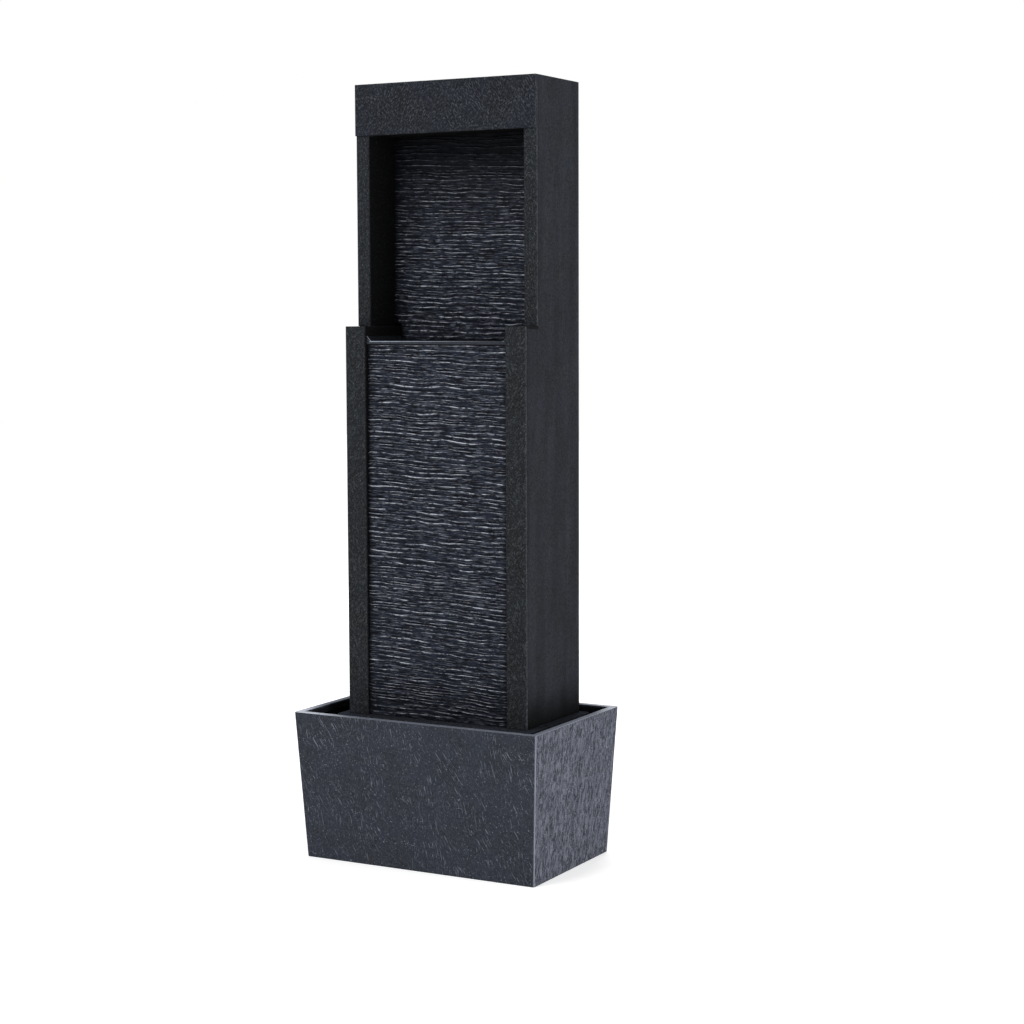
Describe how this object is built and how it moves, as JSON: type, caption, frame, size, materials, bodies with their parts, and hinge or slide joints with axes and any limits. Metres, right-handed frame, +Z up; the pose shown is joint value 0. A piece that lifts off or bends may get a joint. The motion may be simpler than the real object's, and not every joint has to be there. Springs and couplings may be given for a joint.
{
  "type": "solar fountain",
  "caption": "Tall slate-look tower fountain in a tapered basin, with split-rock faces, a hidden pump, a supply hose and a solar panel in its top.",
  "frame": {"origin": "on the ground under the middle of the basin", "axes": "+X to the right seen from the front, +Y to the back, +Z up"},
  "size_m": [0.343, 0.222, 0.965],
  "materials": {
    "basin_slate": "matte, fine hammered slate",
    "tower_slate": "matte, stippled",
    "split_rock": "matte, dry-brushed crests",
    "inner_plastic": "satin",
    "pump_plastic": "semi-gloss",
    "rotor_plastic": "satin",
    "shaft_ceramic": "polished",
    "hose_pvc": "translucent",
    "steel": "brushed",
    "rubber": "matte",
    "solar_blue": "dark cells with fine silver lines",
    "solar_glass": "clear",
    "cell_wrap": "shrink wrap",
    "board": "solder mask",
    "button": "satin"
  },
  "bodies": {
    "fountain": {"basin": "basin_slate", "plinth": "tower_slate", "tower_casing": "tower_slate", "upper_frame": "tower_slate", "header_fascia": "tower_slate", "lower_frame": "tower_slate", "upper_rock_panel": "split_rock", "lower_rock_panel": "split_rock", "spill_ledge": "split_rock", "water_trough": "inner_plastic", "supply_hose": "hose_pvc", "hose_clamp_pump": "steel", "hose_clamp_trough": "steel", "hose_clip_1": "inner_plastic", "hose_clip_2": "inner_plastic", "pump_body": "pump_plastic", "pump_cover": "pump_plastic", "pump_shaft": "shaft_ceramic", "pump_strainer": "pump_plastic", "pump_foot_1": "rubber", "pump_foot_2": "rubber", "pump_foot_3": "rubber", "pump_foot_4": "rubber", "top_cover": "inner_plastic", "solar_cells": "solar_blue", "solar_glass": "solar_glass", "battery_box": "inner_plastic", "battery_box_lid": "inner_plastic", "battery_cell_1": "cell_wrap", "battery_cell_2": "cell_wrap", "control_board": "board", "lead_clip_1": "inner_plastic", "lead_clip_2": "inner_plastic", "lead_clip_3": "inner_plastic", "pump_lead": "rubber", "solar_lead": "rubber", "switch_lead": "rubber", "button_housing": "inner_plastic", "button_nut": "steel", "hinge_pin_lower": "steel", "hinge_pin_upper": "steel"},
    "impeller": {"pump_impeller": "rotor_plastic"},
    "dial": {"flow_dial": "rotor_plastic"},
    "button": {"power_button": "button"},
    "door": {"access_door": "tower_slate"},
    "latch": {"latch_knob": "inner_plastic", "latch_cam": "steel"}
  },
  "joints": [
    {"name": "impeller_spin", "type": "hinge", "parent": "fountain", "child": "impeller", "pos_m": [0, 0.02, 0.0316], "axis": [0, -1, 0], "continuous": true},
    {"name": "flow_dial_turn", "type": "hinge", "parent": "fountain", "child": "dial", "pos_m": [0, -0.0176, 0.0316], "axis": [0, -1, 0], "range_deg": [0, 90]},
    {"name": "power_button_press", "type": "slide", "parent": "fountain", "child": "button", "axis": [0, -1, 0], "range_m": [0, 0.002], "stiffness_N_per_m": 400},
    {"name": "door_swing", "type": "hinge", "parent": "fountain", "child": "door", "pos_m": [-0.06, 0.093, 0.28], "axis": [0, 0, 1], "range_deg": [0, 165]},
    {"name": "latch_turn", "type": "hinge", "parent": "door", "child": "latch", "pos_m": [0.04, 0.089, 0.28], "axis": [0, 1, 0], "range_deg": [0, 90]}
  ]
}
